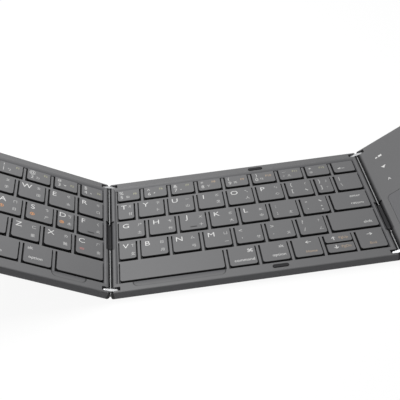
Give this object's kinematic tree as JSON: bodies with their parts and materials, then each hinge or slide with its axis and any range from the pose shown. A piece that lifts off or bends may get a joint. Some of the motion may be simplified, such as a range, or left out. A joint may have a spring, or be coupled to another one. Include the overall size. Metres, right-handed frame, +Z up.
{
  "type": "folding keyboard",
  "caption": "Slim tri-fold keyboard with a left key wing and a right touchpad wing on double-axis hinges, shown half open.",
  "frame": {"origin": "centre of the half-open keyboard's footprint box, on the surface that the middle panel's feet stand on", "axes": "+X towards the touchpad wing, +Y away from the typist, +Z up from the key tops of the middle panel"},
  "size_m": [0.311, 0.097, 0.0564],
  "materials": {
    "charcoal_shell": "fine matte",
    "key_plastic": "fine matte",
    "deck_plastic": "fine matte",
    "cover_plastic": "fine matte",
    "dark_rubber": "matte",
    "dome_silicone": "satin",
    "steel_sheet": "satin",
    "link_metal": "satin",
    "pad_surface": "smooth matte",
    "circuit_board": "glossy",
    "cell_foil": "foil",
    "lens_plastic": "clear white"
  },
  "bodies": {
    "middle_panel": {"middle_frame": "charcoal_shell", "middle_bottom_cover": "cover_plastic", "middle_key_grid": "deck_plastic", "middle_key_plate": "steel_sheet", "middle_dome_sheet": "dome_silicone", "middle_feet": "dark_rubber", "closing_bumpers": "dark_rubber"},
    "left_links": {"left_hinge_links": "link_metal", "left_cable_sleeve": "dark_rubber"},
    "left_wing": {"left_frame": "charcoal_shell", "left_bottom_cover": "cover_plastic", "left_key_grid": "deck_plastic", "left_key_plate": "steel_sheet", "left_dome_sheet": "dome_silicone", "left_feet": "dark_rubber"},
    "right_links": {"right_hinge_links": "link_metal", "right_cable_sleeve": "dark_rubber"},
    "right_wing": {"right_frame": "charcoal_shell", "right_bottom_cover": "cover_plastic", "touchpad": "pad_surface", "touchpad_board": "circuit_board", "main_board": "circuit_board", "battery": "cell_foil", "charging_port": "steel_sheet", "indicator_lenses": "lens_plastic", "right_feet": "dark_rubber"},
    "key_q_body": {"key_q": "key_plastic"},
    "key_w_body": {"key_w": "key_plastic"},
    "key_e_body": {"key_e": "key_plastic"},
    "key_r_body": {"key_r": "key_plastic"},
    "key_a_body": {"key_a": "key_plastic"},
    "key_s_body": {"key_s": "key_plastic"},
    "key_d_body": {"key_d": "key_plastic"},
    "key_f_body": {"key_f": "key_plastic"},
    "key_z_body": {"key_z": "key_plastic"},
    "key_x_body": {"key_x": "key_plastic"},
    "key_c_body": {"key_c": "key_plastic"},
    "left_space_body": {"left_space": "key_plastic"},
    "left_number_keys_body": {"left_number_keys": "key_plastic"},
    "left_modifier_keys_body": {"left_modifier_keys": "key_plastic"},
    "key_t_letter_body": {"key_t_letter": "key_plastic"},
    "key_y_body": {"key_y": "key_plastic"},
    "key_u_body": {"key_u": "key_plastic"},
    "key_i_body": {"key_i": "key_plastic"},
    "key_o_body": {"key_o": "key_plastic"},
    "key_p_body": {"key_p": "key_plastic"},
    "key_g_body": {"key_g": "key_plastic"},
    "key_h_body": {"key_h": "key_plastic"},
    "key_j_body": {"key_j": "key_plastic"},
    "key_k_body": {"key_k": "key_plastic"},
    "key_l_body": {"key_l": "key_plastic"},
    "key_v_body": {"key_v": "key_plastic"},
    "key_b_body": {"key_b": "key_plastic"},
    "key_n_body": {"key_n": "key_plastic"},
    "key_m_body": {"key_m": "key_plastic"},
    "middle_space_body": {"middle_space": "key_plastic"},
    "enter_key_body": {"enter_key": "key_plastic"},
    "middle_number_keys_body": {"middle_number_keys": "key_plastic"},
    "middle_symbol_keys_body": {"middle_symbol_keys": "key_plastic"},
    "middle_modifier_keys_body": {"middle_modifier_keys": "key_plastic"}
  },
  "joints": [
    {"name": "left_link_fold", "type": "hinge", "parent": "middle_panel", "child": "left_links", "pos_m": [-0.06756, 0, 0.00385], "axis": [0, 1, 0], "range_deg": [-15.5, 74.5]},
    {"name": "left_wing_fold", "type": "hinge", "parent": "left_links", "child": "left_wing", "pos_m": [-0.07421, 0, 0.00569], "axis": [0, 1, 0], "range_deg": [-15.5, 74.5]},
    {"name": "right_link_fold", "type": "hinge", "parent": "middle_panel", "child": "right_links", "pos_m": [0.09224, 0, 0.00385], "axis": [0, -1, 0], "range_deg": [-15.5, 74.5]},
    {"name": "right_wing_fold", "type": "hinge", "parent": "right_links", "child": "right_wing", "pos_m": [0.09889, 0, 0.00569], "axis": [0, -1, 0], "range_deg": [-15.5, 74.5]},
    {"name": "key_q_press", "type": "slide", "parent": "left_wing", "child": "key_q_body", "axis": [-0.515, 0, -0.8572], "range_m": [0, 0.0012], "stiffness_N_per_m": 200, "springref_m": -0.0005},
    {"name": "key_w_press", "type": "slide", "parent": "left_wing", "child": "key_w_body", "axis": [-0.515, 0, -0.8572], "range_m": [0, 0.0012], "stiffness_N_per_m": 200, "springref_m": -0.0005},
    {"name": "key_e_press", "type": "slide", "parent": "left_wing", "child": "key_e_body", "axis": [-0.515, 0, -0.8572], "range_m": [0, 0.0012], "stiffness_N_per_m": 200, "springref_m": -0.0005},
    {"name": "key_r_press", "type": "slide", "parent": "left_wing", "child": "key_r_body", "axis": [-0.515, 0, -0.8572], "range_m": [0, 0.0012], "stiffness_N_per_m": 200, "springref_m": -0.0005},
    {"name": "key_a_press", "type": "slide", "parent": "left_wing", "child": "key_a_body", "axis": [-0.515, 0, -0.8572], "range_m": [0, 0.0012], "stiffness_N_per_m": 200, "springref_m": -0.0005},
    {"name": "key_s_press", "type": "slide", "parent": "left_wing", "child": "key_s_body", "axis": [-0.515, 0, -0.8572], "range_m": [0, 0.0012], "stiffness_N_per_m": 200, "springref_m": -0.0005},
    {"name": "key_d_press", "type": "slide", "parent": "left_wing", "child": "key_d_body", "axis": [-0.515, 0, -0.8572], "range_m": [0, 0.0012], "stiffness_N_per_m": 200, "springref_m": -0.0005},
    {"name": "key_f_press", "type": "slide", "parent": "left_wing", "child": "key_f_body", "axis": [-0.515, 0, -0.8572], "range_m": [0, 0.0012], "stiffness_N_per_m": 200, "springref_m": -0.0005},
    {"name": "key_z_press", "type": "slide", "parent": "left_wing", "child": "key_z_body", "axis": [-0.515, 0, -0.8572], "range_m": [0, 0.0012], "stiffness_N_per_m": 200, "springref_m": -0.0005},
    {"name": "key_x_press", "type": "slide", "parent": "left_wing", "child": "key_x_body", "axis": [-0.515, 0, -0.8572], "range_m": [0, 0.0012], "stiffness_N_per_m": 200, "springref_m": -0.0005},
    {"name": "key_c_press", "type": "slide", "parent": "left_wing", "child": "key_c_body", "axis": [-0.515, 0, -0.8572], "range_m": [0, 0.0012], "stiffness_N_per_m": 200, "springref_m": -0.0005},
    {"name": "left_space_press", "type": "slide", "parent": "left_wing", "child": "left_space_body", "axis": [-0.515, 0, -0.8572], "range_m": [0, 0.0012], "stiffness_N_per_m": 200, "springref_m": -0.0005},
    {"name": "left_number_keys_press", "type": "slide", "parent": "left_wing", "child": "left_number_keys_body", "axis": [-0.515, 0, -0.8572], "range_m": [0, 0.0012], "stiffness_N_per_m": 200, "springref_m": -0.0005},
    {"name": "left_modifier_keys_press", "type": "slide", "parent": "left_wing", "child": "left_modifier_keys_body", "axis": [-0.515, 0, -0.8572], "range_m": [0, 0.0012], "stiffness_N_per_m": 200, "springref_m": -0.0005},
    {"name": "key_t_letter_press", "type": "slide", "parent": "middle_panel", "child": "key_t_letter_body", "axis": [0, 0, -1], "range_m": [0, 0.0012], "stiffness_N_per_m": 200, "springref_m": -0.0005},
    {"name": "key_y_press", "type": "slide", "parent": "middle_panel", "child": "key_y_body", "axis": [0, 0, -1], "range_m": [0, 0.0012], "stiffness_N_per_m": 200, "springref_m": -0.0005},
    {"name": "key_u_press", "type": "slide", "parent": "middle_panel", "child": "key_u_body", "axis": [0, 0, -1], "range_m": [0, 0.0012], "stiffness_N_per_m": 200, "springref_m": -0.0005},
    {"name": "key_i_press", "type": "slide", "parent": "middle_panel", "child": "key_i_body", "axis": [0, 0, -1], "range_m": [0, 0.0012], "stiffness_N_per_m": 200, "springref_m": -0.0005},
    {"name": "key_o_press", "type": "slide", "parent": "middle_panel", "child": "key_o_body", "axis": [0, 0, -1], "range_m": [0, 0.0012], "stiffness_N_per_m": 200, "springref_m": -0.0005},
    {"name": "key_p_press", "type": "slide", "parent": "middle_panel", "child": "key_p_body", "axis": [0, 0, -1], "range_m": [0, 0.0012], "stiffness_N_per_m": 200, "springref_m": -0.0005},
    {"name": "key_g_press", "type": "slide", "parent": "middle_panel", "child": "key_g_body", "axis": [0, 0, -1], "range_m": [0, 0.0012], "stiffness_N_per_m": 200, "springref_m": -0.0005},
    {"name": "key_h_press", "type": "slide", "parent": "middle_panel", "child": "key_h_body", "axis": [0, 0, -1], "range_m": [0, 0.0012], "stiffness_N_per_m": 200, "springref_m": -0.0005},
    {"name": "key_j_press", "type": "slide", "parent": "middle_panel", "child": "key_j_body", "axis": [0, 0, -1], "range_m": [0, 0.0012], "stiffness_N_per_m": 200, "springref_m": -0.0005},
    {"name": "key_k_press", "type": "slide", "parent": "middle_panel", "child": "key_k_body", "axis": [0, 0, -1], "range_m": [0, 0.0012], "stiffness_N_per_m": 200, "springref_m": -0.0005},
    {"name": "key_l_press", "type": "slide", "parent": "middle_panel", "child": "key_l_body", "axis": [0, 0, -1], "range_m": [0, 0.0012], "stiffness_N_per_m": 200, "springref_m": -0.0005},
    {"name": "key_v_press", "type": "slide", "parent": "middle_panel", "child": "key_v_body", "axis": [0, 0, -1], "range_m": [0, 0.0012], "stiffness_N_per_m": 200, "springref_m": -0.0005},
    {"name": "key_b_press", "type": "slide", "parent": "middle_panel", "child": "key_b_body", "axis": [0, 0, -1], "range_m": [0, 0.0012], "stiffness_N_per_m": 200, "springref_m": -0.0005},
    {"name": "key_n_press", "type": "slide", "parent": "middle_panel", "child": "key_n_body", "axis": [0, 0, -1], "range_m": [0, 0.0012], "stiffness_N_per_m": 200, "springref_m": -0.0005},
    {"name": "key_m_press", "type": "slide", "parent": "middle_panel", "child": "key_m_body", "axis": [0, 0, -1], "range_m": [0, 0.0012], "stiffness_N_per_m": 200, "springref_m": -0.0005},
    {"name": "middle_space_press", "type": "slide", "parent": "middle_panel", "child": "middle_space_body", "axis": [0, 0, -1], "range_m": [0, 0.0012], "stiffness_N_per_m": 200, "springref_m": -0.0005},
    {"name": "enter_key_press", "type": "slide", "parent": "middle_panel", "child": "enter_key_body", "axis": [0, 0, -1], "range_m": [0, 0.0012], "stiffness_N_per_m": 200, "springref_m": -0.0005},
    {"name": "middle_number_keys_press", "type": "slide", "parent": "middle_panel", "child": "middle_number_keys_body", "axis": [0, 0, -1], "range_m": [0, 0.0012], "stiffness_N_per_m": 200, "springref_m": -0.0005},
    {"name": "middle_symbol_keys_press", "type": "slide", "parent": "middle_panel", "child": "middle_symbol_keys_body", "axis": [0, 0, -1], "range_m": [0, 0.0012], "stiffness_N_per_m": 200, "springref_m": -0.0005},
    {"name": "middle_modifier_keys_press", "type": "slide", "parent": "middle_panel", "child": "middle_modifier_keys_body", "axis": [0, 0, -1], "range_m": [0, 0.0012], "stiffness_N_per_m": 200, "springref_m": -0.0005}
  ],
  "couplings": [
    {"joint": "left_wing_fold", "follows": "left_link_fold", "ratio": 1},
    {"joint": "right_wing_fold", "follows": "right_link_fold", "ratio": 1}
  ]
}
